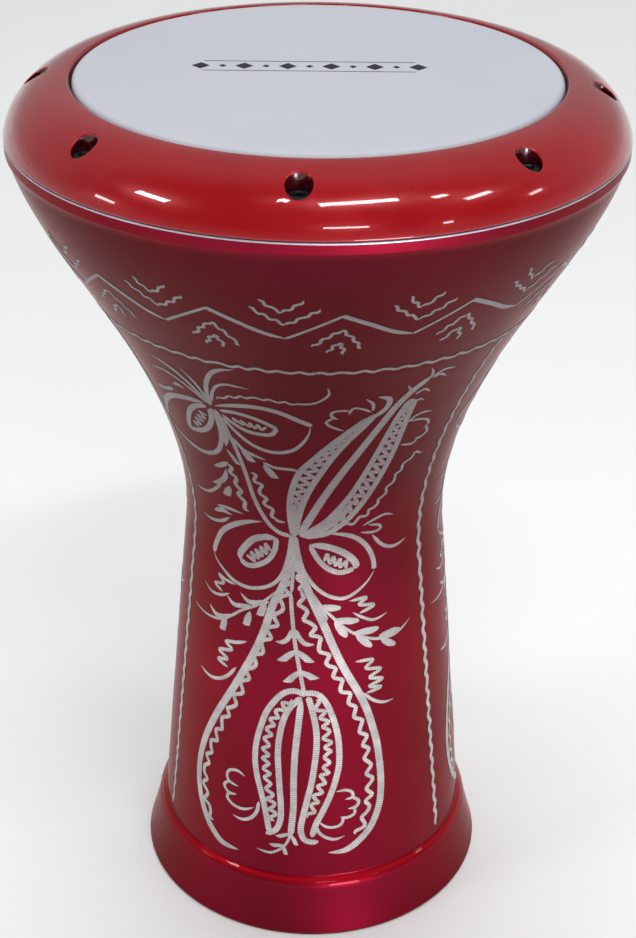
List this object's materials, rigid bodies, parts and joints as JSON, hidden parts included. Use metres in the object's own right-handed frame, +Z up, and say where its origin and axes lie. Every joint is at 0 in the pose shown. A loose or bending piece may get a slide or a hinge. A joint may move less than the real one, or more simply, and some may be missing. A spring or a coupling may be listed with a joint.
{
  "type": "goblet drum",
  "caption": "Metal goblet drum (darbuka) with an engraved body, a plastic head and a tuning ring that lifts as its recessed screws turn.",
  "frame": {"origin": "centre of the flat bottom face of the foot", "axes": "+Z up along the drum's axis towards the head, -Y towards the front of the engraving, +X to the front view's right"},
  "size_m": [0.285, 0.285, 0.4347],
  "materials": {
    "candy_red": "metallic candy red lacquer over cast aluminium, engraved through to bright metal",
    "gloss_red": "gloss red lacquer over cast aluminium",
    "film": "satin pale grey polyester film",
    "bare_aluminium": "bare machined aluminium",
    "black_steel": "black oxide",
    "zinc_steel": "zinc plated"
  },
  "bodies": {
    "drum_body": {"shell": "candy_red", "foot_skirt": "candy_red", "drumhead_film": "film", "head_hoop": "bare_aluminium", "threaded_insert_1": "zinc_steel", "threaded_insert_2": "zinc_steel", "threaded_insert_3": "zinc_steel", "threaded_insert_4": "zinc_steel", "threaded_insert_5": "zinc_steel", "threaded_insert_6": "zinc_steel", "threaded_insert_7": "zinc_steel", "threaded_insert_8": "zinc_steel"},
    "ring_assembly": {"tuning_ring": "gloss_red", "screw_washer_1": "zinc_steel", "screw_washer_2": "zinc_steel", "screw_washer_3": "zinc_steel", "screw_washer_4": "zinc_steel", "screw_washer_5": "zinc_steel", "screw_washer_6": "zinc_steel", "screw_washer_7": "zinc_steel", "screw_washer_8": "zinc_steel"},
    "screw_1": {"tuning_screw_1": "black_steel"},
    "screw_2": {"tuning_screw_2": "black_steel"},
    "screw_3": {"tuning_screw_3": "black_steel"},
    "screw_4": {"tuning_screw_4": "black_steel"},
    "screw_5": {"tuning_screw_5": "black_steel"},
    "screw_6": {"tuning_screw_6": "black_steel"},
    "screw_7": {"tuning_screw_7": "black_steel"},
    "screw_8": {"tuning_screw_8": "black_steel"}
  },
  "joints": [
    {"name": "ring_slide", "type": "slide", "parent": "drum_body", "child": "ring_assembly", "axis": [0, 0, 1], "range_m": [0, 0.006]},
    {"name": "screw_1_turn", "type": "hinge", "parent": "ring_assembly", "child": "screw_1", "pos_m": [-0.00713, -0.1276, 0.4252], "axis": [0, 0, 1], "range_deg": [0, 2160]},
    {"name": "screw_2_turn", "type": "hinge", "parent": "ring_assembly", "child": "screw_2", "pos_m": [0.08518, -0.09527, 0.4252], "axis": [0, 0, 1], "range_deg": [0, 2160]},
    {"name": "screw_3_turn", "type": "hinge", "parent": "ring_assembly", "child": "screw_3", "pos_m": [0.1276, -0.00713, 0.4252], "axis": [0, 0, 1], "range_deg": [0, 2160]},
    {"name": "screw_4_turn", "type": "hinge", "parent": "ring_assembly", "child": "screw_4", "pos_m": [0.09527, 0.08518, 0.4252], "axis": [0, 0, 1], "range_deg": [0, 2160]},
    {"name": "screw_5_turn", "type": "hinge", "parent": "ring_assembly", "child": "screw_5", "pos_m": [0.00713, 0.1276, 0.4252], "axis": [0, 0, 1], "range_deg": [0, 2160]},
    {"name": "screw_6_turn", "type": "hinge", "parent": "ring_assembly", "child": "screw_6", "pos_m": [-0.08518, 0.09527, 0.4252], "axis": [0, 0, 1], "range_deg": [0, 2160]},
    {"name": "screw_7_turn", "type": "hinge", "parent": "ring_assembly", "child": "screw_7", "pos_m": [-0.1276, 0.00713, 0.4252], "axis": [0, 0, 1], "range_deg": [0, 2160]},
    {"name": "screw_8_turn", "type": "hinge", "parent": "ring_assembly", "child": "screw_8", "pos_m": [-0.09527, -0.08518, 0.4252], "axis": [0, 0, 1], "range_deg": [0, 2160]}
  ],
  "couplings": [
    {"joint": "screw_1_turn", "follows": "ring_slide", "rad_per_m": 6283.2},
    {"joint": "screw_2_turn", "follows": "ring_slide", "rad_per_m": 6283.2},
    {"joint": "screw_3_turn", "follows": "ring_slide", "rad_per_m": 6283.2},
    {"joint": "screw_4_turn", "follows": "ring_slide", "rad_per_m": 6283.2},
    {"joint": "screw_5_turn", "follows": "ring_slide", "rad_per_m": 6283.2},
    {"joint": "screw_6_turn", "follows": "ring_slide", "rad_per_m": 6283.2},
    {"joint": "screw_7_turn", "follows": "ring_slide", "rad_per_m": 6283.2},
    {"joint": "screw_8_turn", "follows": "ring_slide", "rad_per_m": 6283.2}
  ]
}
